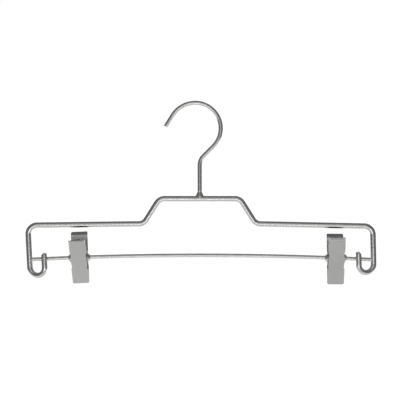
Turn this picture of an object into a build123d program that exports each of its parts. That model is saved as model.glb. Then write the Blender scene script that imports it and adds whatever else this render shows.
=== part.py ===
from build123d import *
from math import acos, asin, atan2, ceil, cos, degrees, hypot, pi, radians, sin, sqrt, tan
import os

# Trouser hanger: a bent wire frame that turns under a question-mark hook, with a bowed
# clip rail welded between its legs. Two spring clips of pressed steel slide on the rail,
# swing round it and open when their thumb lips are squeezed.
#
# The origin is on the hook's swivel axis, on the inside of the hook where it hangs level.
# +X runs along the hanger, -Y is its front and +Z is up. Sizes are millimetres, angles degrees.

# Wires
frame_wire_diameter = 5.8
rail_wire_diameter = 4.0
hook_wire_diameter = 4.4

# Hook: a rounder arc on the neck's side, a wider one on the tip's side
hook_inside_radius = 23.1
hook_tip_side_radius = 24.5
hook_arc_offset = 4.4
hook_tip_length = 12.7
hook_tip_slope = 58.5
hook_neck_slope = 45
hook_neck_bend_radius = 13.0
hook_tip_rounding = 0.4

# Frame
seat_to_top_bar = 93.1
top_bar_half_length = 40.2
shoulder_run = 15.9
shoulder_drop = 25.3
arm_droop = {"left": 1.45, "right": 2.45}
leg_reach = {"left": 172.2, "right": 173.4}
leg_lean = 2.06
frame_bend_radius = 9.0

# End hooks: each leg turns up again in front of the rail, and its tip is sheared
end_hook_spread = 15.5
end_hook_forward = 6.6
arm_to_turn = {"left": 42.2, "right": 37.75}
arm_to_tip = {"left": 27.8, "right": 24.5}
tip_flat_width = 3.6
tip_rounding = 0.7

# Swivel: a coned collar on the top bar, and the hook's tenon riveted flush under the bar
collar_base_radius = 4.2
collar_height = 4.1
collar_skirt = 1.8
tenon_diameter = 2.8
swivel_clearance = 0.06
rivet_head_radius = 2.0
rivet_cone_height = 1.0

# Clip rail, bowed upwards in its middle
top_bar_to_rail = 57.3
rail_bow_radius = 3430.0
rail_weld_gap = 0.2

# Where the clips stand, how far each is swung, and how each hangs on its loose sleeve
clip_from_leg = {"left": 51.3, "right": 36.6}
clip_swing = {"left": 7.9, "right": -1.0}
clip_sag = {"left": 0.3, "right": 0.05}
clip_tilt = {"left": -0.6, "right": -1.9}
clip_yaw = {"left": -1.2, "right": 0.0}

# Clip jaws: pressed sheet with rolled sides, ears, a flared thumb lip and a gripping edge
sheet = 0.8
jaw_width = 17.0
jaw_lean = 14.4
jaw_below_rail = 26.5
jaw_above_rail = 22.2
jaw_corner_radius = 1.8
lip_turn = 40
lip_length = 4.4
lip_bend_radius = 4.0
side_depth = 2.0
side_bend_radius = 1.3
ear_radius = 4.8
ear_root_half_height = 9.0
ear_gap = 0.12
jaw_gap = 0.1

# Hollow pivot of each clip: a sleeve with coned ends, threaded on the rail
sleeve_radius = 2.9
cone_base_radius = 4.4
cone_tip_radius = 2.8
cone_rim = 0.3
cone_length = 2.2
rail_clearance = 0.5
pivot_clearance = 0.05
cone_gap = 0.12

# Torsion spring round the sleeve, with a leg and a foot on each thumb plate
spring_wire = 1.2
spring_mean_radius = 3.7
spring_half_length = 5.0
spring_turns = 5
spring_foot_height = 18.0
spring_foot_length = {"rear": 5.4, "front": 3.4}
spring_bend_radius = 1.5
spring_seat_gap = 0.1

# Rubber grip pads: wedges that fill the closed jaws behind the gripping edges
pad_height = 9.0
pad_tip_margin = 0.9
pad_side_gap = 0.6
pad_groove_height = 0.8
pad_groove_depth = 0.35
pad_groove_count = 3

# Worked out from the sizes above
frame_wire_radius = frame_wire_diameter / 2
rail_radius = rail_wire_diameter / 2
hook_wire_radius = hook_wire_diameter / 2
tenon_radius = tenon_diameter / 2
swivel_hole_radius = tenon_radius + swivel_clearance
top_bar_z = -seat_to_top_bar
bar_top_z = top_bar_z + frame_wire_radius
arm_inner_z = top_bar_z - shoulder_drop
arm_outer_z = {side: arm_inner_z - arm_droop[side] for side in arm_droop}
rail_middle_z = top_bar_z - top_bar_to_rail
rail_centre_z = rail_middle_z - rail_bow_radius
collar_top_z = bar_top_z + collar_height
sides = {"left": -1, "right": 1}
clip_place = {side: sides[side] * (leg_reach[side] - clip_from_leg[side]) for side in sides}
cut_overrun = frame_wire_diameter

os.makedirs("parts", exist_ok=True)


def save(piece, name):
    piece.part.label = name
    export_step(piece.part, f"parts/{name}.step")


def placed(plane, spot):
    # A plane of a piece's own frame, where that piece stands
    return Plane(spot * plane.location)


# Frame wire: tip, turn and leg of one end hook, over both arms to the other end hook

def end_hook_spot(side):
    # At the arm's outer corner; both legs lean a little, the same way
    return Location((sides[side] * leg_reach[side], 0, arm_outer_z[side]), (0, -leg_lean, 0))


def end_hook_points(side):
    # The turn lies in a plane swung forward round the leg, so both its ends run straight up
    own_plane = placed(Plane.XY, end_hook_spot(side))
    across = -sides[side] * end_hook_spread
    turn_radius = hypot(end_hook_spread, end_hook_forward) / 2
    own_points = (
        (0, 0, -arm_to_turn[side]),
        (across / 2, -end_hook_forward / 2, -arm_to_turn[side] - turn_radius),
        (across, -end_hook_forward, -arm_to_turn[side]),
        (across, -end_hook_forward, -arm_to_tip[side]),
    )
    return [own_plane.from_local_coords(point) for point in own_points]


left_leg_end, left_lowest, left_riser, left_tip = end_hook_points("left")
right_leg_end, right_lowest, right_riser, right_tip = end_hook_points("right")

with BuildPart() as frame_wire:
    with BuildLine() as frame_path:
        Line(left_tip, left_riser)
        ThreePointArc(left_riser, left_lowest, left_leg_end)
        FilletPolyline(
            left_leg_end,
            (-leg_reach["left"], 0, arm_outer_z["left"]),
            (-top_bar_half_length - shoulder_run, 0, arm_inner_z),
            (-top_bar_half_length, 0, top_bar_z),
            (top_bar_half_length, 0, top_bar_z),
            (top_bar_half_length + shoulder_run, 0, arm_inner_z),
            (leg_reach["right"], 0, arm_outer_z["right"]),
            right_leg_end,
            radius=frame_bend_radius,
        )
        ThreePointArc(right_leg_end, right_lowest, right_riser)
        Line(right_riser, right_tip)
    path = frame_path.wire()
    with BuildSketch(Plane(origin=path @ 0, z_dir=path % 0)):
        Circle(frame_wire_radius)
    sweep(path=path)
    cut_ends = frame_wire.faces().filter_by(GeomType.PLANE)
    fillet(cut_ends.edges(), tip_rounding)
    # The shears leave a slanted face on the leg's side of each tip
    for side in sides:
        tip_x = sides[side] * (tip_flat_width - frame_wire_radius - end_hook_spread)
        beyond_x = tip_x + sides[side] * cut_overrun
        slant_plane = placed(Plane.XZ.offset(end_hook_forward - cut_overrun), end_hook_spot(side))
        with BuildSketch(slant_plane):
            with BuildLine():
                Polyline(
                    (tip_x, -arm_to_tip[side]),
                    (beyond_x, -arm_to_tip[side]),
                    (beyond_x, -arm_to_tip[side] - cut_overrun),
                    close=True,
                )
            make_face()
        extrude(amount=2 * cut_overrun, mode=Mode.SUBTRACT)
    # Hole and countersink for the hook's riveted tenon
    with BuildSketch(Plane.XY.offset(top_bar_z)):
        Circle(swivel_hole_radius)
    extrude(amount=cut_overrun, both=True, mode=Mode.SUBTRACT)
    rivet_rim_radius = rivet_head_radius + swivel_clearance
    rivet_rim_z = top_bar_z - sqrt(frame_wire_radius**2 - rivet_rim_radius**2)
    with BuildSketch(Plane.XZ):
        with BuildLine():
            Polyline(
                (0, rivet_rim_z - cut_overrun),
                (rivet_rim_radius, rivet_rim_z - cut_overrun),
                (rivet_rim_radius, rivet_rim_z),
                (swivel_hole_radius, rivet_rim_z + rivet_cone_height),
                (0, rivet_rim_z + rivet_cone_height),
                close=True,
            )
        make_face()
    revolve(axis=Axis.Z, mode=Mode.SUBTRACT)
save(frame_wire, "frame_wire")


# Hook wire: tip, round top, slanting neck, stem, and a thin tenon through the top bar

neck_arc_radius = hook_inside_radius + hook_wire_radius
tip_arc_radius = hook_tip_side_radius + hook_wire_radius
neck_arc_z = -sqrt(hook_inside_radius**2 - hook_arc_offset**2)
tip_arc_z = neck_arc_z + neck_arc_radius - tip_arc_radius
neck_start_x = -hook_arc_offset + neck_arc_radius * cos(radians(hook_neck_slope))
neck_start_z = neck_arc_z - neck_arc_radius * sin(radians(hook_neck_slope))
neck_foot_z = neck_start_z - neck_start_x * tan(radians(hook_neck_slope))
tip_start_x = -hook_arc_offset - tip_arc_radius * sin(radians(hook_tip_slope))
tip_start_z = tip_arc_z + tip_arc_radius * cos(radians(hook_tip_slope))
tip_x = tip_start_x - hook_tip_length * cos(radians(hook_tip_slope))
tip_z = tip_start_z - hook_tip_length * sin(radians(hook_tip_slope))

with BuildPart() as hook_wire:
    with BuildLine(Plane.XZ) as hook_path:
        Line((tip_x, tip_z), (tip_start_x, tip_start_z))
        CenterArc((-hook_arc_offset, tip_arc_z), tip_arc_radius, 90 + hook_tip_slope, -hook_tip_slope)
        CenterArc((-hook_arc_offset, neck_arc_z), neck_arc_radius, 90, -90 - hook_neck_slope)
        FilletPolyline(
            (neck_start_x, neck_start_z), (0, neck_foot_z), (0, collar_top_z),
            radius=hook_neck_bend_radius,
        )
    tip_direction = (tip_start_x - tip_x, 0, tip_start_z - tip_z)
    with BuildSketch(Plane(origin=(tip_x, 0, tip_z), z_dir=tip_direction)):
        Circle(hook_wire_radius)
    sweep(path=hook_path.wire())
    cut_tip = hook_wire.faces().filter_by(GeomType.PLANE).sort_by(Axis.Z)[-1]
    fillet(cut_tip.edges(), hook_tip_rounding)
    # The tenon ends in a domed head that lies within the bar's round
    dome_radius = frame_wire_radius - swivel_clearance
    dome_rim_z = top_bar_z - sqrt(dome_radius**2 - rivet_head_radius**2)
    with BuildSketch(Plane.XZ):
        with BuildLine():
            Line((0, collar_top_z), (tenon_radius, collar_top_z))
            Line((tenon_radius, collar_top_z), (tenon_radius, dome_rim_z + rivet_cone_height))
            Line((tenon_radius, dome_rim_z + rivet_cone_height), (rivet_head_radius, dome_rim_z))
            dome_half_angle = asin(rivet_head_radius / dome_radius) / 2
            dome_middle = (dome_radius * sin(dome_half_angle), dome_radius * cos(dome_half_angle))
            ThreePointArc(
                (rivet_head_radius, dome_rim_z),
                (dome_middle[0], top_bar_z - dome_middle[1]),
                (0, top_bar_z - dome_radius),
            )
            Line((0, top_bar_z - dome_radius), (0, collar_top_z))
        make_face()
    revolve(axis=Axis.Z)
save(hook_wire, "hook_wire")


# Hook collar: a cone from the stem's width to a skirt that saddles the top bar

with BuildPart() as hook_collar:
    seat_z = collar_top_z - swivel_clearance
    with BuildSketch(Plane.XZ):
        with BuildLine():
            Polyline(
                (swivel_hole_radius, seat_z),
                (hook_wire_radius, seat_z),
                (collar_base_radius, bar_top_z),
                (collar_base_radius, bar_top_z - collar_skirt),
                (swivel_hole_radius, bar_top_z - collar_skirt),
                close=True,
            )
        make_face()
    revolve(axis=Axis.Z)
    with BuildSketch(Plane.YZ.offset(-cut_overrun)):
        with Locations((0, top_bar_z)):
            Circle(frame_wire_radius)
    extrude(amount=2 * cut_overrun, mode=Mode.SUBTRACT)
save(hook_collar, "hook_collar")


# Clip rail: one long arc, butted to the leaning legs with room for the weld

def rail_point(x):
    return (x, 0, rail_centre_z + sqrt(rail_bow_radius**2 - x**2))


def rail_end(side):
    corner_x = sides[side] * leg_reach[side]
    drop = arm_outer_z[side] - rail_point(corner_x)[2]
    leg_x = corner_x + drop * tan(radians(leg_lean))
    return rail_point(leg_x - sides[side] * (frame_wire_radius + rail_weld_gap))


with BuildPart() as clip_rail:
    with BuildLine() as rail_path:
        ThreePointArc(rail_end("left"), rail_point(0), rail_end("right"))
    with BuildSketch(Plane(origin=rail_path.line @ 0, z_dir=rail_path.line % 0)):
        Circle(rail_radius)
    sweep(path=rail_path.wire())
save(clip_rail, "clip_rail")


# Clips. Each is made in place: its own X runs along the rail, and its own Z up its middle plane

def clip_spot(side):
    turn = degrees(asin(clip_place[side] / rail_bow_radius))
    on_rail = Location(rail_point(clip_place[side]), (0, turn, 0))
    hanging = Location((0, 0, -clip_sag[side]), (0, clip_tilt[side], clip_yaw[side]))
    return on_rail * hanging * Location((0, 0, 0), (clip_swing[side], 0, 0))


def jaw_spot(side, face):
    half_turn = 0 if face == "rear" else 180
    return clip_spot(side) * Location((0, 0, 0), (0, 0, half_turn))


# A jaw's side view gives depth from the middle plane and height from the rail's axis
lean = radians(jaw_lean)
lip_lean = radians(jaw_lean + lip_turn)
tip_depth = jaw_gap + sheet / cos(lean)
plate_length = (jaw_above_rail + jaw_below_rail - lip_length * cos(lip_lean)) / cos(lean)
rail_level = jaw_below_rail * cos(lean) - tip_depth * sin(lean)
half_width = jaw_width / 2


def on_plate(along, inward):
    # A point so far up the outer face from the gripping edge, and so far in from that face
    depth = tip_depth + along * sin(lean) - inward * cos(lean)
    height = -jaw_below_rail + along * cos(lean) + inward * sin(lean)
    return depth, height


def on_lip(along, inward):
    # The same beyond the lip's bend, counted from the corner of the outer faces
    depth = on_plate(plate_length, 0)[0] + along * sin(lip_lean) - inward * cos(lip_lean)
    height = on_plate(plate_length, 0)[1] + along * cos(lip_lean) + inward * sin(lip_lean)
    return depth, height


def make_jaw(side, face):
    spot = jaw_spot(side, face)
    side_view = placed(Plane.YZ, spot)
    ear_outer = half_width if face == "rear" else half_width - sheet - ear_gap
    ear_root = side_bend_radius if face == "rear" else sheet / 2
    with BuildPart() as jaw:
        # Sheet with rolled sides, swept up the plate and round the thumb lip
        with BuildLine(side_view) as outer_line:
            FilletPolyline(
                on_plate(0, 0), on_plate(plate_length, 0), on_lip(lip_length, 0),
                radius=lip_bend_radius,
            )
        section_plane = Plane(
            origin=outer_line.line @ 0, x_dir=side_view.z_dir, z_dir=outer_line.line % 0
        )
        with BuildSketch(section_plane):
            with BuildLine():
                FilletPolyline(
                    (-half_width, -side_depth),
                    (-half_width, 0),
                    (half_width, 0),
                    (half_width, -side_depth),
                    radius=side_bend_radius,
                )
                offset(amount=sheet, side=Side.RIGHT)
            make_face()
        sweep(path=outer_line.wire())
        # The rolled sides run out below the lip, and nothing crosses the middle plane
        side_top = plate_length - lip_bend_radius
        with BuildSketch(side_view):
            with BuildLine():
                FilletPolyline(
                    on_plate(side_top, sheet),
                    on_plate(plate_length + sheet * tan(radians(lip_turn) / 2), sheet),
                    on_lip(lip_length + cut_overrun, sheet),
                    radius=lip_bend_radius + sheet,
                )
                Polyline(
                    on_lip(lip_length + cut_overrun, sheet),
                    on_lip(lip_length + cut_overrun, sheet + cut_overrun),
                    on_plate(side_top - cut_overrun, sheet + cut_overrun),
                    on_plate(side_top, sheet),
                )
            make_face()
            with BuildLine():
                Polyline(
                    (jaw_gap, -jaw_below_rail - cut_overrun),
                    (jaw_gap, jaw_above_rail),
                    (jaw_gap - cut_overrun, jaw_above_rail),
                    (jaw_gap - cut_overrun, -jaw_below_rail - cut_overrun),
                    close=True,
                )
            make_face()
        extrude(amount=jaw_width, both=True, mode=Mode.SUBTRACT)
        # Rounded corners
        outline_top = jaw_above_rail + sheet
        with BuildSketch(placed(Plane.XZ, spot)):
            with Locations((0, (outline_top - jaw_below_rail) / 2)):
                RectangleRounded(jaw_width, outline_top + jaw_below_rail, jaw_corner_radius)
        extrude(amount=jaw_width * 2, both=True, mode=Mode.INTERSECT)
        # The inner pair of ears leaves notches in its sheet for the outer pair
        if face == "front":
            notch_low = rail_level - ear_root_half_height
            notch_high = rail_level + ear_root_half_height
            for hand in (-1, 1):
                with BuildSketch(placed(Plane.YZ.offset(hand * ear_outer), spot)):
                    with BuildLine():
                        Polyline(
                            on_plate(notch_low, -sheet),
                            on_plate(notch_high, -sheet),
                            on_plate(notch_high, side_depth + sheet),
                            on_plate(notch_low, side_depth + sheet),
                            close=True,
                        )
                    make_face()
                extrude(amount=hand * jaw_width, mode=Mode.SUBTRACT)
        # Ears, and the pivot's hole through both
        for hand in (-1, 1):
            with BuildSketch(placed(Plane.YZ.offset(hand * ear_outer), spot)):
                with BuildLine():
                    CenterArc((0, 0), ear_radius, 0, 360)
                    Line(
                        on_plate(rail_level - ear_root_half_height, ear_root),
                        on_plate(rail_level + ear_root_half_height, ear_root),
                    )
                make_hull()
            extrude(amount=-hand * sheet)
        with BuildSketch(side_view):
            Circle(sleeve_radius + pivot_clearance)
        extrude(amount=jaw_width, both=True, mode=Mode.SUBTRACT)
    return jaw


def make_pad(side, face):
    spot = jaw_spot(side, face)
    foot = on_plate(pad_tip_margin, sheet)
    head = on_plate(pad_tip_margin + pad_height, sheet)
    groove_pitch = (head[1] - foot[1]) / (pad_groove_count + 1)
    with BuildPart() as pad:
        with BuildSketch(placed(Plane.YZ, spot)):
            with BuildLine():
                Polyline(foot, head, (jaw_gap, head[1]), (jaw_gap, foot[1]), close=True)
            make_face()
            with Locations((jaw_gap, (foot[1] + head[1]) / 2)):
                with GridLocations(0, groove_pitch, 1, pad_groove_count):
                    Rectangle(2 * pad_groove_depth, pad_groove_height, mode=Mode.SUBTRACT)
        extrude(amount=half_width - sheet - pad_side_gap, both=True)
    return pad


def make_pivot_sleeve(side):
    spot = clip_spot(side)
    bore_radius = rail_radius + rail_clearance
    cone_base_x = half_width + cone_gap
    cone_tip_x = cone_base_x + cone_length
    with BuildPart() as pivot_sleeve:
        own_plane = placed(Plane.XY, spot)
        with BuildSketch(own_plane):
            with BuildLine():
                Polyline(
                    (-cone_tip_x, bore_radius),
                    (-cone_tip_x, cone_tip_radius),
                    (-cone_base_x - cone_rim, cone_base_radius),
                    (-cone_base_x, cone_base_radius),
                    (-cone_base_x, sleeve_radius),
                    (cone_base_x, sleeve_radius),
                    (cone_base_x, cone_base_radius),
                    (cone_base_x + cone_rim, cone_base_radius),
                    (cone_tip_x, cone_tip_radius),
                    (cone_tip_x, bore_radius),
                    close=True,
                )
            make_face()
        revolve(axis=Axis(own_plane.origin, own_plane.x_dir))
    return pivot_sleeve


def add_biarc(start, start_way, end, end_way):
    # Two arcs that leave one point and reach the other in the ways given
    chord = end - start
    both_ways = start_way + end_way
    bend = 2 * (1 - start_way.dot(end_way))
    along = chord.dot(both_ways)
    reach = (sqrt(along**2 + bend * chord.dot(chord)) - along) / bend
    corner_in = start + start_way * reach
    corner_out = end - end_way * reach
    joint = (corner_in + corner_out) * 0.5
    TangentArc(start, joint, tangent=start_way)
    TangentArc(joint, end, tangent=(corner_out - corner_in).normalized())


def least_gap(line, wire, skip):
    # The least space between stretches of a wire that lie more than skip apart along it
    count = ceil(line.length / (wire / 2))
    points = [line @ (i / count) for i in range(count + 1)]
    apart = ceil(skip / line.length * count)
    spans = (
        (points[i] - points[j]).length
        for i in range(count + 1)
        for j in range(i + apart, count + 1)
    )
    return min(spans) - wire


def make_torsion_spring(side):
    own_plane = placed(Plane.XY, clip_spot(side))

    def at(x, depth, height):
        return own_plane.from_local_coords((x, depth, height))

    foot_inward = sheet + spring_seat_gap + spring_wire / 2
    foot_depth, foot_height = on_plate(rail_level + spring_foot_height, foot_inward)
    # A leg leaves the coil where its straight line touches the coil's round
    foot_angle = atan2(foot_height, foot_depth)
    leave_angle = foot_angle - acos(spring_mean_radius / hypot(foot_depth, foot_height))
    start_angle = pi - leave_angle
    whole_angle = pi + 2 * leave_angle + 2 * pi * spring_turns
    quarters = round(whole_angle / (pi / 2))

    def on_coil(i):
        angle = start_angle + whole_angle * i / quarters
        x = spring_half_length * (1 - 2 * i / quarters)
        return at(x, spring_mean_radius * cos(angle), spring_mean_radius * sin(angle))

    def coil_way(i):
        # Along the wire; the two ends have no pitch, as the legs stand square to the coil
        angle = start_angle + whole_angle * i / quarters
        pitch = 0 if i in (0, quarters) else -2 * spring_half_length / whole_angle
        end = at(pitch, -spring_mean_radius * sin(angle), spring_mean_radius * cos(angle))
        return (end - own_plane.origin).normalized()

    front_x = spring_half_length
    rear_x = -spring_half_length
    with BuildPart() as torsion_spring:
        with BuildLine() as spring_path:
            FilletPolyline(
                at(front_x - spring_foot_length["front"], -foot_depth, foot_height),
                at(front_x, -foot_depth, foot_height),
                on_coil(0),
                radius=spring_bend_radius,
            )
            for i in range(quarters):
                add_biarc(on_coil(i), coil_way(i), on_coil(i + 1), coil_way(i + 1))
            FilletPolyline(
                on_coil(quarters),
                at(rear_x, foot_depth, foot_height),
                at(rear_x + spring_foot_length["rear"], foot_depth, foot_height),
                radius=spring_bend_radius,
            )
        path = spring_path.wire()
        with BuildSketch(Plane(origin=path @ 0, z_dir=path % 0)):
            Circle(spring_wire / 2)
        sweep(path=path)
    gap = least_gap(path, spring_wire, pi * spring_mean_radius)
    print(side, "spring: least gap to itself", round(gap, 3), "mm")
    return torsion_spring


for side in sides:
    save(make_pivot_sleeve(side), f"{side}_pivot_sleeve")
    save(make_jaw(side, "rear"), f"{side}_rear_jaw")
    save(make_jaw(side, "front"), f"{side}_front_jaw")
    save(make_pad(side, "rear"), f"{side}_rear_pad")
    save(make_pad(side, "front"), f"{side}_front_pad")
    save(make_torsion_spring(side), f"{side}_torsion_spring")
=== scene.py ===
# %% [markdown]
# # A trouser hanger in satin steel
#
# The hanger is wire, pressed sheet and two springs, all plated with the same soft satin shine.
# Polished metal has no colour of its own to speak of: what we see in it is the room. So this
# lesson is half about clean round wire and half about what stands round it while it is
# photographed. Every length here is in metres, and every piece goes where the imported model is.

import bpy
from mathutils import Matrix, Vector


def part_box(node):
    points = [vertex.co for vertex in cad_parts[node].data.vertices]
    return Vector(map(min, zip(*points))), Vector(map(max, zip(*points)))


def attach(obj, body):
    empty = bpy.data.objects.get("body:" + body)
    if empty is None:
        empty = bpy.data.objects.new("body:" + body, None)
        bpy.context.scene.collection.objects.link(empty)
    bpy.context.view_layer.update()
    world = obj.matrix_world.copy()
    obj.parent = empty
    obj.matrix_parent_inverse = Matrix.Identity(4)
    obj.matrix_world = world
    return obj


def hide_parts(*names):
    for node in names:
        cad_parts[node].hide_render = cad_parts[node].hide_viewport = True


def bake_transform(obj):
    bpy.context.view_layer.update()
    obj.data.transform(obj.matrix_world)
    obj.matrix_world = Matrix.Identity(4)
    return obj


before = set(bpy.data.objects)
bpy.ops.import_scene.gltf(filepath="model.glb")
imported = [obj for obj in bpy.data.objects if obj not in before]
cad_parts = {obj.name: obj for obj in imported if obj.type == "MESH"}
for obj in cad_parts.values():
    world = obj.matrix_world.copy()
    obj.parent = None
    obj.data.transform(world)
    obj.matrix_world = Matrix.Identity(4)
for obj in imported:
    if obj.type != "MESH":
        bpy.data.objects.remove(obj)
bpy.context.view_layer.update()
print("The packed model has", len(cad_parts), "nodes")

# %% What the lesson uses
from math import acos, asin, atan2, ceil, cos, degrees, hypot, pi, radians, sin, sqrt, tan

import bmesh
import bpy
from mathutils import Matrix, Vector

mm = 0.001
sides = {"left": -1, "right": 1}

# %% [markdown]
# ## The camera
#
# The photograph was taken from well back, a little above the hanger and looking slightly down
# at it. A long lens keeps both arms almost parallel. We place the camera by where it stands and
# by the point that it looks at, which keeps the numbers easy to picture.

# %% Camera
camera_place = Vector((0.3, -1391, 64.1)) * mm
camera_target = Vector((0.3, 0, -94.38)) * mm
camera_lens = 126

camera_data = bpy.data.cameras.new("camera")
camera_data.lens = camera_lens
camera = bpy.data.objects.new("camera", camera_data)
camera.location = camera_place
camera.rotation_euler = (camera_target - camera_place).to_track_quat("-Z", "Y").to_euler()
bpy.context.scene.collection.objects.link(camera)
bpy.context.scene.camera = camera
bpy.context.scene.view_settings.view_transform = "Standard"
print("Camera", round((camera_target - camera_place).length, 3), "m from what it looks at")

# %% [markdown]
# ## Writing shader nodes as sums
#
# A finish is easier to read as a sum than as a web of boxes. A small class wraps one output
# socket and overloads the operators, so that `0.45 + mottle * 0.3` adds the Math nodes by
# itself. Every other node comes from one method: its type, its settings, then what its sockets
# get.

# %% Sockets that can be added and multiplied
class Socket:
    def __init__(self, shading, socket):
        self.shading = shading
        self.socket = socket

    def maths(self, operation, *values):
        values = dict(enumerate((self, *values)))
        return self.shading.node("ShaderNodeMath", {"operation": operation}, values)

    def __add__(self, other):
        return self.maths("ADD", other)

    def __mul__(self, other):
        return self.maths("MULTIPLY", other)

    __radd__ = __add__
    __rmul__ = __mul__


print("Sockets add and multiply")


# %% A finish, node by node
class Shading:
    def __init__(self, owner):
        owner.use_nodes = True
        self.owner = owner
        self.tree = owner.node_tree
        self.tree.nodes.clear()

    def node(self, kind, settings, inputs, output=0):
        made = self.tree.nodes.new(kind)
        for name, value in settings.items():
            setattr(made, name, value)
        for name, value in inputs.items():
            if isinstance(value, Socket):
                self.tree.links.new(value.socket, made.inputs[name])
            else:
                made.inputs[name].default_value = value
        return Socket(self, made.outputs[output]) if made.outputs else None

    def show(self, surface):
        kind = "World" if isinstance(self.owner, bpy.types.World) else "Material"
        self.node(f"ShaderNodeOutput{kind}", {}, {"Surface": surface})


def material(name):
    print("Material", name)
    return Shading(bpy.data.materials.new(name))


# %% [markdown]
# ## The room
#
# The background is plain white, so the world is white at a strength of one and lights
# everything evenly. The world is a finish too, with the world itself as its owner.

# %% World
white = (1, 1, 1, 1)

world = bpy.data.worlds.new("white_room")
bpy.context.scene.world = world
room = Shading(world)
room.show(room.node("ShaderNodeBackground", {}, {"Color": white, "Strength": 1}))
print("World", world.name)

# %% [markdown]
# ## Pieces made from points and faces
#
# Everything that this lesson makes is a mesh: points, and faces that name their points by
# number. One function turns both lists into an object. The floor and the cards are flat sheets
# of one face, turned to face where they should.

# %% A mesh, and a flat sheet
def mesh_object(name, points, faces):
    mesh = bpy.data.meshes.new(name)
    mesh.from_pydata(points, [], faces)
    made = bpy.data.objects.new(name, mesh)
    bpy.context.scene.collection.objects.link(made)
    return made


def flat_sheet(name, width, height, centre, facing, paint):
    corner_signs = ((-1, -1), (1, -1), (1, 1), (-1, 1))
    points = [(x * width / 2, y * height / 2, 0) for x, y in corner_signs]
    sheet = mesh_object(name, points, [(0, 1, 2, 3)])
    sheet.location = centre
    sheet.rotation_euler = Vector(facing).to_track_quat("Z", "Y").to_euler()
    sheet.data.materials.append(paint)
    print(name, "is", width, "by", height, "m")
    return sheet


# %% [markdown]
# ## The floor
#
# The floor lies well below, as it does under a hanging thing. It is a pale matt sheet that keeps
# the hanger's shadow. What the camera and a polished surface see of it is lifted a little, so
# that it meets the white of the world without a line. Light Path tells which rays those are.

# %% Floor
floor_depth = 0.6
floor_size = 40
floor_colour = (0.8, 0.8, 0.8, 1)
floor_lift = 0.25

paper = material("floor_paper")
seen = paper.node("ShaderNodeLightPath", {}, {}, "Is Camera Ray")
for ray in ("Is Glossy Ray", "Is Transmission Ray"):
    seen = seen.maths("MAXIMUM", paper.node("ShaderNodeLightPath", {}, {}, ray))
matt = paper.node("ShaderNodeBsdfDiffuse", {}, {"Color": floor_colour})
lift = paper.node("ShaderNodeEmission", {}, {"Color": white, "Strength": floor_lift})
lifted = paper.node("ShaderNodeAddShader", {}, {0: matt, 1: lift})
paper.show(paper.node("ShaderNodeMixShader", {}, {0: seen, 1: matt, 2: lifted}))
flat_sheet("floor", floor_size, floor_size, (0, 0, -floor_depth), (0, 0, 1), paper.owner)

# %% [markdown]
# ## Cards
#
# In an all-white room bright metal has no shape. A photographer of cutlery hangs cards round
# it, out of view. Here dark screens stand on both sides, with an open lane between them. A
# level wire reflects only the lane: a bright card low down, a dark one in the middle and a
# paler one above. An upright wire reflects the screens, so it stays grey. The dark card
# overhead and the two that lie beneath shade the tops and the undersides. Cards are seen in
# polished surfaces only, so each simply glows at its own level.

# %% Cards
# Each card's width and height, its centre, the way it faces, and how brightly it glows.
cards = {
    "lane_low": (0.62, 0.216, (0, -1.0, -0.487), (0, 1, 0.1), 3.0),
    "lane_middle": (0.62, 0.264, (0, -1.0, -0.247), (0, 1, 0), 0.3),
    "lane_high": (0.7, 1.1, (0, -1.5, 0.43), (0, 1, 0), 0.6),
    "screen_left_front": (1.6, 1.5, (-0.85, -0.95, 0.15), (0.87, 0.5, 0), 0.16),
    "screen_right_front": (1.6, 1.5, (0.85, -0.95, 0.15), (-0.87, 0.5, 0), 0.16),
    "screen_left": (1.7, 1.5, (-1.15, 0.6, 0.15), (1, 0, 0), 0.12),
    "screen_right": (1.7, 1.5, (1.15, 0.6, 0.15), (-1, 0, 0), 0.12),
    "card_above": (4.0, 2.8, (0, 0.2, 0.9), (0, 0, -1), 0.15),
    "card_beneath_front": (1.0, 0.4, (0, -0.53, -0.45), (0, 0, 1), 0.36),
    "card_beneath": (1.0, 0.43, (0, -0.115, -0.45), (0, 0, 1), 0.68),
}
for name, (width, height, centre, facing, level) in cards.items():
    glow = material(name)
    glow.show(glow.node("ShaderNodeEmission", {}, {"Color": white, "Strength": level}))
    card = flat_sheet(name, width, height, centre, facing, glow.owner)
    card.visible_camera = False
    card.visible_diffuse = False
    card.visible_shadow = False

# %% [markdown]
# ## Plated steel
#
# Every steel piece has the same plating: bare metal whose roughness is a little cloudy, as a
# tumbled and plated surface is. The finishes differ in colour, in roughness and in the fine
# grain that the metal had before it was plated, so the grain comes in as a normal.

# %% Plating
cloud_scale = 160
cloud_detail = 3
cloud_spread = 0.1


def noise(shading, scale, detail=2):
    place = shading.node("ShaderNodeTexCoord", {}, {}, "Object")
    return shading.node(
        "ShaderNodeTexNoise",
        {},
        {"Vector": place, "Scale": scale, "Detail": detail},
        "Fac",
    )


def plated(steel, colour, roughness, grain):
    """Ends a steel finish with its plating, rough by this much on average."""
    cloud = noise(steel, cloud_scale, cloud_detail)
    rough = cloud * cloud_spread + (roughness - cloud_spread / 2)
    steel.show(steel.node(
        "ShaderNodeBsdfPrincipled",
        {},
        {"Base Color": colour, "Metallic": 1, "Roughness": rough, "Normal": grain},
    ))
    return steel.owner


print("The plating's roughness varies by", cloud_spread)

# %% [markdown]
# ## Satin wire
#
# The wires were drawn, bent, ground lightly round their girth, and plated. The grinding leaves
# very fine rings, far too shallow to see one by one, and these spread each reflection along
# the wire but not across it. That is why the bars show sharp lines and the legs look dull. The
# rings are a ping-pong of how far along the wire a point is. A slow noise makes them stray and
# deepens some of them, so that they never look turned on a lathe. The rail looks paler and
# duller than the frame, so it has the same rings in a rougher finish of its own. The springs'
# wire is darker, with deeper marks.

# %% Wire finish
wander_scale = 350
wander_spread = 0.8
shallow_share = 0.6
half_ring = 0.5


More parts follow.
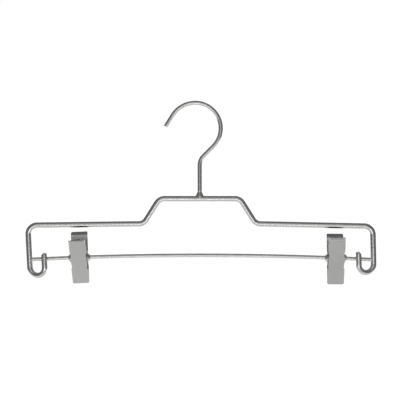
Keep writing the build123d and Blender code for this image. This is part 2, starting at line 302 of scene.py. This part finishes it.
def wire_finish(name, colour, roughness, ring_pitch, ring_depth):
    steel = material(name)
    along = steel.node("ShaderNodeAttribute", {"attribute_name": "along"}, {}, "Fac")
    wander = noise(steel, wander_scale) * wander_spread
    rings = (along * (1 / ring_pitch) + wander).maths("PINGPONG", half_ring)
    height = rings * (wander + shallow_share)
    distance = ring_depth / half_ring
    grain = steel.node("ShaderNodeBump", {}, {"Strength": 1, "Distance": distance, "Height": height})
    return plated(steel, colour, roughness, grain)


satin_wire = wire_finish("satin_wire", (0.76, 0.76, 0.745, 1), 0.24, 0.3 * mm, 0.0015 * mm)
satin_rail = wire_finish("satin_rail", (0.84, 0.84, 0.825, 1), 0.34, 0.3 * mm, 0.0015 * mm)
spring_steel = wire_finish("spring_steel", (0.42, 0.42, 0.4, 1), 0.3, 0.2 * mm, 0.005 * mm)

# %% [markdown]
# ## Pressed sheet and turned steel
#
# The jaws were pressed from sheet and tumbled, the sleeves and the collar were turned. Their
# grain is fine pits without a direction, so a very small noise is enough. No pressed edge is
# quite sharp: the Bevel node bends the normals close to each edge as if it were rounded, which
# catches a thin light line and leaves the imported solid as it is.

# %% Sheet finish
pit_scale = 4000
pit_strength = 0.3
pit_depth = 0.02 * mm
edge_samples = 6


def sheet_finish(name, colour, roughness, edge_round):
    steel = material(name)
    pits = noise(steel, pit_scale)
    edges = steel.node("ShaderNodeBevel", {"samples": edge_samples}, {"Radius": edge_round})
    grain = steel.node(
        "ShaderNodeBump",
        {},
        {"Strength": pit_strength, "Distance": pit_depth, "Height": pits, "Normal": edges},
    )
    return plated(steel, colour, roughness, grain)


satin_sheet = sheet_finish("satin_sheet", (0.62, 0.62, 0.605, 1), 0.33, 0.35 * mm)
turned_steel = sheet_finish("turned_steel", (0.74, 0.74, 0.72, 1), 0.3, 0.15 * mm)

# %% [markdown]
# ## Rubber
#
# The pads are black rubber, moulded in a tool with a dull, slightly mottled face. One noise
# gives both the skin's small bumps and its changing roughness, so that the raised spots are
# the duller ones.

# %% Rubber finish
rubber_colour = (0.035, 0.035, 0.035, 1)
mottle_scale = 900
mottle_detail = 4
skin_strength = 0.4
skin_depth = 0.05 * mm
rubber_smoothest = 0.45
rubber_spread = 0.3

rubber = material("pad_rubber")
mottle = noise(rubber, mottle_scale, mottle_detail)
skin = rubber.node(
    "ShaderNodeBump",
    {},
    {"Strength": skin_strength, "Distance": skin_depth, "Height": mottle},
)
dull = rubber_smoothest + mottle * rubber_spread
rubber.show(rubber.node(
    "ShaderNodeBsdfPrincipled",
    {},
    {"Base Color": rubber_colour, "Roughness": dull, "Normal": skin},
))

# %% [markdown]
# ## Routes
#
# A bent wire is a list of points along its middle. Straight stretches need few points, bends
# need many. Each bend is an arc that touches both of its straight stretches, as it comes off a
# round bending pin.

# %% Rounded corners
bend_step = radians(4)


def arc(centre, start, way, turn):
    """Points on a turn about centre, from start, which leaves in the direction way."""
    arm = start - centre
    across = way.normalized() * arm.length
    steps = ceil(turn / bend_step)
    angles = [turn * i / steps for i in range(steps + 1)]
    return [centre + arm * cos(angle) + across * sin(angle) for angle in angles]


def rounded(corners, radius):
    """The corners of a bent wire, with an arc in place of each inner one."""
    route = [corners[0]]
    for before, corner, after in zip(corners, corners[1:], corners[2:]):
        arriving = (corner - before).normalized()
        leaving = (after - corner).normalized()
        turn = arriving.angle(leaving)
        start = corner - arriving * radius * tan(turn / 2)
        inward = (leaving - arriving * arriving.dot(leaving)).normalized()
        route += arc(start + inward * radius, start, arriving, turn)
    return route + [corners[-1]]


print("Bends have a point at least every", round(degrees(bend_step)), "degrees")

# %% [markdown]
# ## From a route to a wire
#
# A ring of points is carried along the route without twisting it, and neighbouring rings are
# joined by four-sided faces. A curve with a bevel would be quicker, but here each point also
# remembers how far along the wire it is, which the finish needs for its rings. The cut ends
# are rounded by a few smaller rings.

# %% Rings along a route
ring_size = 32
longest_span = 4 * mm
shortest_span = 0.0001 * mm
edge_steps = 5


def evened(route):
    """The route with points added where two of them lie far apart."""
    points = [route[0]]
    for start, end in zip(route, route[1:]):
        count = max(1, ceil((end - start).length / longest_span))
        if (end - start).length > shortest_span:
            points += [start.lerp(end, i / count) for i in range(1, count + 1)]
    return points


def end_rings(point, inward, radius, edge, angles):
    """The middle and radius of each ring that rounds the edge of a cut end."""
    return [
        (point + inward * edge * (1 - sin(angle)), radius - edge * (1 - cos(angle)))
        for angle in angles
    ]


def tube_faces(ring_count, count):
    """Faces between rings of count points each, and one over each end."""
    faces = []
    for start in range(0, (ring_count - 1) * count, count):
        for i in range(count):
            j = (i + 1) % count
            faces.append((start + i, start + j, start + count + j, start + count + i))
    last = (ring_count - 1) * count
    return faces + [tuple(reversed(range(count))), tuple(range(last, last + count))]


print("A wire has", ring_size, "points round it")


# %% Wire
def wire(name, route, radius, edge, reshape=None):
    """A round wire along a route, with rounded edges at its ends."""
    points = evened(route)
    angles = [pi / 2 * i / edge_steps for i in range(edge_steps + 1)]
    first_way = (points[1] - points[0]).normalized()
    last_way = (points[-1] - points[-2]).normalized()
    rings = end_rings(points[0], first_way, radius, edge, reversed(angles))
    rings += [(point, radius) for point in points[1:-1]]
    rings += end_rings(points[-1], -last_way, radius, edge, angles)
    vertices, alongs = [], []
    normal = first_way.orthogonal().normalized()
    travelled = 0
    for i, (centre, width) in enumerate(rings):
        before = rings[max(i - 1, 0)][0]
        after = rings[min(i + 1, len(rings) - 1)][0]
        way = (after - before).normalized()
        normal = (normal - way * normal.dot(way)).normalized()
        side = way.cross(normal)
        travelled += (centre - before).length
        for j in range(ring_size):
            angle = 2 * pi * j / ring_size
            vertices.append(centre + (normal * cos(angle) + side * sin(angle)) * width)
            alongs.append(travelled)
    if reshape:
        vertices = [reshape(vertex) for vertex in vertices]
    piece = mesh_object(name, vertices, tube_faces(len(rings), ring_size))
    piece.data.shade_smooth()
    piece.data.attributes.new("along", "FLOAT", "POINT").data.foreach_set("value", alongs)
    print(name, "is", round(travelled / mm), "mm of wire in", len(piece.data.polygons), "faces")
    return piece


# %% [markdown]
# ## The frame wire
#
# One wire makes the whole frame. It runs from the tip of one end hook round under the rail, up
# the leg, over the arm and the raised middle, and down to the other tip the same way. The
# photographed hanger isn't symmetrical, so each side has its own reach, droop and end hook. We
# write the corners that the wire would have if it were bent sharp, and `rounded` bends them.

# %% Sizes of the frame wire
frame_radius = 2.9 * mm
frame_bend = 9 * mm
top_bar_half_length = 40.2 * mm
shoulder_run = 15.9 * mm
shoulder_drop = 25.3 * mm
arm_droop = {"left": 1.45 * mm, "right": 2.45 * mm}
leg_reach = {"left": 172.2 * mm, "right": 173.4 * mm}
leg_lean = radians(2.06)
end_hook_spread = 15.5 * mm
end_hook_forward = 6.6 * mm
arm_to_turn = {"left": 42.2 * mm, "right": 37.75 * mm}
arm_to_tip = {"left": 27.8 * mm, "right": 24.5 * mm}
tip_flat_width = 3.6 * mm
tip_edge = 0.7 * mm

top_bar_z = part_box("frame_wire")[1].z - frame_radius
arm_inner_z = top_bar_z - shoulder_drop
corners = {
    side: Vector((sides[side] * leg_reach[side], 0, arm_inner_z - arm_droop[side]))
    for side in sides
}
print("The legs stand", round((leg_reach["left"] + leg_reach["right"]) / mm, 1), "mm apart")


# %% Route of the frame wire
def end_hook(side):
    """Points from the foot of a leaning leg round to its upturned tip."""
    leaning = Matrix.Translation(corners[side]) @ Matrix.Rotation(-leg_lean, 4, "Y")
    across = -sides[side] * end_hook_spread
    leg_end = Vector((0, 0, -arm_to_turn[side]))
    riser = Vector((across, -end_hook_forward, -arm_to_turn[side]))
    tip = Vector((across, -end_hook_forward, -arm_to_tip[side]))
    turn = arc((leg_end + riser) / 2, leg_end, Vector((0, 0, -1)), pi)
    return [leaning @ point for point in turn + [tip]]


left_hook = end_hook("left")
right_hook = end_hook("right")
frame_corners = [
    left_hook[0],
    corners["left"],
    Vector((-top_bar_half_length - shoulder_run, 0, arm_inner_z)),
    Vector((-top_bar_half_length, 0, top_bar_z)),
    Vector((top_bar_half_length, 0, top_bar_z)),
    Vector((top_bar_half_length + shoulder_run, 0, arm_inner_z)),
    corners["right"],
    right_hook[0],
]
frame_route = left_hook[:0:-1] + rounded(frame_corners, frame_bend) + right_hook[1:]
print("The frame's route has", len(frame_route), "points")

# %% [markdown]
# The shears that cut the wire pinch it from one side, so each tip is flat on top for part of
# its width and then slants down towards the leg. Moving the points of the finished tip down to
# that slant is simpler than cutting it, and leaves the faces as they were.

# %% Frame wire
def shear(point):
    """Pushes a tip's leg side down to the slanted face that the shears left."""
    for side, route in (("left", left_hook), ("right", right_hook)):
        tip = route[-1]
        past_flat = sides[side] * (point.x - tip.x) - (tip_flat_width - frame_radius)
        if (point - tip).length < 2 * frame_radius and past_flat > 0:
            point = Vector((point.x, point.y, min(point.z, tip.z - past_flat)))
    return point


frame_wire = wire("satin_frame_wire", frame_route, frame_radius, tip_edge, shear)
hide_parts("frame_wire")
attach(frame_wire, "frame")
frame_wire.data.materials.append(satin_wire)

# %% [markdown]
# ## The hook
#
# The hook is thinner wire, bent round two pins: one for the neck's side, and a slightly larger
# one for the tip's side. Both circles meet at the crown, so the line stays smooth there. Below
# the neck a straight stretch slopes in to the stem, which stands in the collar and turns with
# it. The hook is a piece of its own because it swivels.

# %% Sizes of the hook wire
hook_radius = 2.2 * mm
hook_inside_radius = 23.1 * mm
hook_tip_side_radius = 24.5 * mm
hook_arc_offset = 4.4 * mm
hook_tip_length = 12.7 * mm
hook_tip_slope = radians(58.5)
hook_neck_slope = radians(45)
hook_neck_bend = 13 * mm
hook_edge = 0.4 * mm
collar_height = 4.1 * mm

neck_arc = hook_inside_radius + hook_radius
tip_arc = hook_tip_side_radius + hook_radius
print("The hook is", round(2 * hook_inside_radius / mm, 1), "mm across inside")

# %% Hook wire
neck_centre = Vector((-hook_arc_offset, 0, -sqrt(hook_inside_radius**2 - hook_arc_offset**2)))
tip_centre = neck_centre + Vector((0, 0, neck_arc - tip_arc))
crown = neck_centre + Vector((0, 0, neck_arc))
neck_start = neck_centre + Vector((cos(hook_neck_slope), 0, -sin(hook_neck_slope))) * neck_arc
neck_foot = Vector((0, 0, neck_start.z - neck_start.x * tan(hook_neck_slope)))
stem_foot = Vector((0, 0, top_bar_z + frame_radius + collar_height))
tip_start = tip_centre + Vector((-sin(hook_tip_slope), 0, cos(hook_tip_slope))) * tip_arc
tip_end = tip_start - Vector((cos(hook_tip_slope), 0, sin(hook_tip_slope))) * hook_tip_length

hook_route = [tip_end]
hook_route += arc(tip_centre, tip_start, tip_start - tip_end, hook_tip_slope)
hook_route += arc(neck_centre, crown, Vector((1, 0, 0)), pi / 2 + hook_neck_slope)
hook_route += rounded([neck_start, neck_foot, stem_foot], hook_neck_bend)[1:]
hook_wire = wire("satin_hook_wire", hook_route, hook_radius, hook_edge)
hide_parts("hook_wire")
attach(hook_wire, "hook")
hook_wire.data.materials.append(satin_wire)

# %% [markdown]
# ## The clip rail
#
# The rail is a straight bar, sprung into a very flat upward bow between the legs and welded
# there. The bow is one arc of a circle more than three metres in radius, so we work out the
# height of each point from that circle. Its ends stop where the two middle lines meet, inside
# the legs, as a weld looks from outside.

# %% Clip rail
rail_radius = 2 * mm
rail_edge = 0.2 * mm
rail_bow_radius = 3430 * mm
rail_crown_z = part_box("clip_rail")[1].z - rail_radius
rail_steps = 60


def rail_point(x):
    return Vector((x, 0, rail_crown_z - rail_bow_radius + sqrt(rail_bow_radius**2 - x**2)))


def rail_end(side):
    """Where the rail's middle line meets the leaning leg's."""
    drop = corners[side].z - rail_point(corners[side].x).z
    return corners[side].x + drop * tan(leg_lean)


rail_start = rail_end("left")
rail_span = rail_end("right") - rail_start
rail_route = [rail_point(rail_start + rail_span * i / rail_steps) for i in range(rail_steps + 1)]
clip_rail = wire("satin_clip_rail", rail_route, rail_radius, rail_edge)
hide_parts("clip_rail")
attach(clip_rail, "frame")
clip_rail.data.materials.append(satin_rail)

# %% [markdown]
# ## The clips
#
# A clip is two pressed jaws, a turned sleeve that they pivot on, a spring wound round the sleeve
# and two rubber pads. The jaws and sleeves are rigid and smooth, and so is the hook's collar, so
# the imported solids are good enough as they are: they only change their finish.

# %% Finish of the jaws, sleeves and collar
def refinish(node, finish):
    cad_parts[node].data.materials.clear()
    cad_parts[node].data.materials.append(finish)
    print(node, "is finished in", finish.name)


refinish("hook_collar", turned_steel)
for side in sides:
    refinish(f"{side}_rear_jaw", satin_sheet)
    refinish(f"{side}_front_jaw", satin_sheet)
    refinish(f"{side}_pivot_sleeve", turned_steel)

# %% [markdown]
# Each clip hangs on the rail in its own way: it sags in its loose sleeve, tilts, and swings
# back or forward. So the spring and the pads are made in the clip's own frame, along the rail,
# then depth, then height, and one matrix takes them to where the clip hangs.

# %% Where the clips hang
clip_from_leg = {"left": 51.3 * mm, "right": 36.6 * mm}
clip_swing = {"left": radians(7.9), "right": radians(-1.0)}
clip_sag = {"left": 0.3 * mm, "right": 0.05 * mm}
clip_tilt = {"left": radians(-0.6), "right": radians(-1.9)}
clip_yaw = {"left": radians(-1.2), "right": 0}


def clip_frame(side):
    place = sides[side] * (leg_reach[side] - clip_from_leg[side])
    turn = asin(place / rail_bow_radius)
    on_rail = Matrix.Translation(rail_point(place)) @ Matrix.Rotation(turn, 4, "Y")
    tilted = Matrix.Rotation(clip_tilt[side], 4, "Y") @ Matrix.Rotation(clip_yaw[side], 4, "Z")
    hanging = Matrix.Translation((0, 0, -clip_sag[side])) @ tilted
    return on_rail @ hanging @ Matrix.Rotation(clip_swing[side], 4, "X")


clip_frames = {side: clip_frame(side) for side in sides}
for side, own in clip_frames.items():
    print("The", side, "clip hangs", round(own.translation.x / mm, 1), "mm from the middle")

# %% [markdown]
# Seen from the side, a jaw is a plate that leans away from the other one, and both tips almost
# touch. The spring's feet and the pads lie against the inside of these plates. One function
# gives any place on a plate, by how far up it is and how far in from its outer face.

# %% Side view of a jaw
sheet = 0.8 * mm
jaw_half_width = 8.5 * mm
jaw_lean = radians(14.4)
jaw_below_rail = 26.5 * mm
jaw_gap = 0.1 * mm
tip_depth = jaw_gap + sheet / cos(jaw_lean)


def on_plate(along, inward):
    """Depth and height so far up the outer face from the tip, and so far in from it."""
    depth = tip_depth + along * sin(jaw_lean) - inward * cos(jaw_lean)
    return depth, -jaw_below_rail + along * cos(jaw_lean) + inward * sin(jaw_lean)


print("The tips reach", round(jaw_below_rail / mm, 1), "mm below the rail")

# %% [markdown]
# ## Torsion springs
#
# Five turns of wire go round the sleeve, and a leg goes up to each thumb plate, where a short
# foot lies along the sheet. The turns are points on a helix. When the jaw opens, the rear foot
# stays and the front one goes with the jaw; here the spring is made only as it rests.

# %% Route of a spring
spring_radius = 0.6 * mm
coil_radius = 3.7 * mm
coil_half_length = 5 * mm
coil_turns = 5
foot_along = 18 * mm
foot_length = {"rear": 5.4 * mm, "front": 3.4 * mm}
foot_gap = 0.1 * mm
spring_bend = 1.5 * mm
spring_edge = 0.1 * mm
points_a_turn = 48

rail_level = jaw_below_rail * cos(jaw_lean) - tip_depth * sin(jaw_lean)
foot_depth, foot_height = on_plate(rail_level + foot_along, sheet + foot_gap + spring_radius)
foot_distance = hypot(foot_depth, foot_height)
leave_angle = atan2(foot_height, foot_depth) - acos(coil_radius / foot_distance)
whole_angle = pi + 2 * leave_angle + 2 * pi * coil_turns


def coil_point(share):
    angle = pi - leave_angle + whole_angle * share
    across = coil_half_length * (1 - 2 * share)
    return Vector((across, coil_radius * cos(angle), coil_radius * sin(angle)))


coil_count = round(whole_angle / (2 * pi) * points_a_turn)
coil = [coil_point(i / coil_count) for i in range(coil_count + 1)]
front_corner = Vector((coil_half_length, -foot_depth, foot_height))
rear_corner = Vector((-coil_half_length, foot_depth, foot_height))
front_foot = front_corner - Vector((foot_length["front"], 0, 0))
rear_foot = rear_corner + Vector((foot_length["rear"], 0, 0))
spring_route = rounded([front_foot, front_corner, coil[0]], spring_bend) + coil[1:-1]
spring_route += rounded([coil[-1], rear_corner, rear_foot], spring_bend)
print("The wire turns by", round(degrees(whole_angle)), "degrees between its legs")

# %% Springs
for side, own in clip_frames.items():
    route = [own @ point for point in spring_route]
    spring = wire(f"{side}_coil_spring", route, spring_radius, spring_edge)
    spring.data.materials.append(spring_steel)
    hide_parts(f"{side}_torsion_spring")
    rear_side = own @ Vector((0, coil_radius, 0))
    front_side = own @ Vector((0, -coil_radius, 0))
    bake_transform(spring)

# %% [markdown]
# ## Grip pads
#
# A rubber wedge fills each closed jaw behind its gripping edge, with grooves across the face
# that holds the cloth. It is one outline, drawn from the side and carried across the jaw. It is
# moulded, so every edge has a small round: a bevel modifier.

# %% Outline of a pad
pad_foot_along = 0.9 * mm
pad_height = 9 * mm
pad_side_gap = 0.6 * mm
groove_height = 0.8 * mm
groove_depth = 0.35 * mm
groove_count = 3

pad_foot = on_plate(pad_foot_along, sheet)
pad_head = on_plate(pad_foot_along + pad_height, sheet)
groove_pitch = (pad_head[1] - pad_foot[1]) / (groove_count + 1)
pad_outline = [(jaw_gap, pad_foot[1]), pad_foot, pad_head, (jaw_gap, pad_head[1])]
for i in reversed(range(groove_count)):
    middle = pad_foot[1] + groove_pitch * (i + 1)
    top = middle + groove_height / 2
    bottom = middle - groove_height / 2
    deep = jaw_gap + groove_depth
    pad_outline += [(jaw_gap, top), (deep, top), (deep, bottom), (jaw_gap, bottom)]
print("A pad's outline has", len(pad_outline), "corners and", groove_count, "grooves")

# %% Pads
pad_half_length = jaw_half_width - sheet - pad_side_gap
pad_edge = 0.12 * mm
pad_edge_segments = 3


def grip_pad(name, own):
    ends = (-pad_half_length, pad_half_length)
    points = [own @ Vector((x, *point)) for x in ends for point in pad_outline]
    pad = mesh_object(name, points, tube_faces(len(ends), len(pad_outline)))
    moulded = bmesh.new()
    moulded.from_mesh(pad.data)
    bmesh.ops.recalc_face_normals(moulded, faces=moulded.faces)
    moulded.to_mesh(pad.data)
    moulded.free()
    rounds = pad.modifiers.new("moulded_edges", "BEVEL")
    rounds.width = pad_edge
    rounds.segments = pad_edge_segments
    pad.data.materials.append(rubber.owner)
    print(name, "has", len(pad.data.polygons), "faces before its edges are rounded")
    return pad


half_turn = Matrix.Rotation(pi, 4, "Z")
for side, own in clip_frames.items():
    holders = {"rear": (own, "clip"), "front": (own @ half_turn, "jaw")}
    for face, (facing, body) in holders.items():
        pad = grip_pad(f"{side}_{face}_grip", facing)
        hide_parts(f"{side}_{face}_pad")
        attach(pad, f"{side}_{body}")
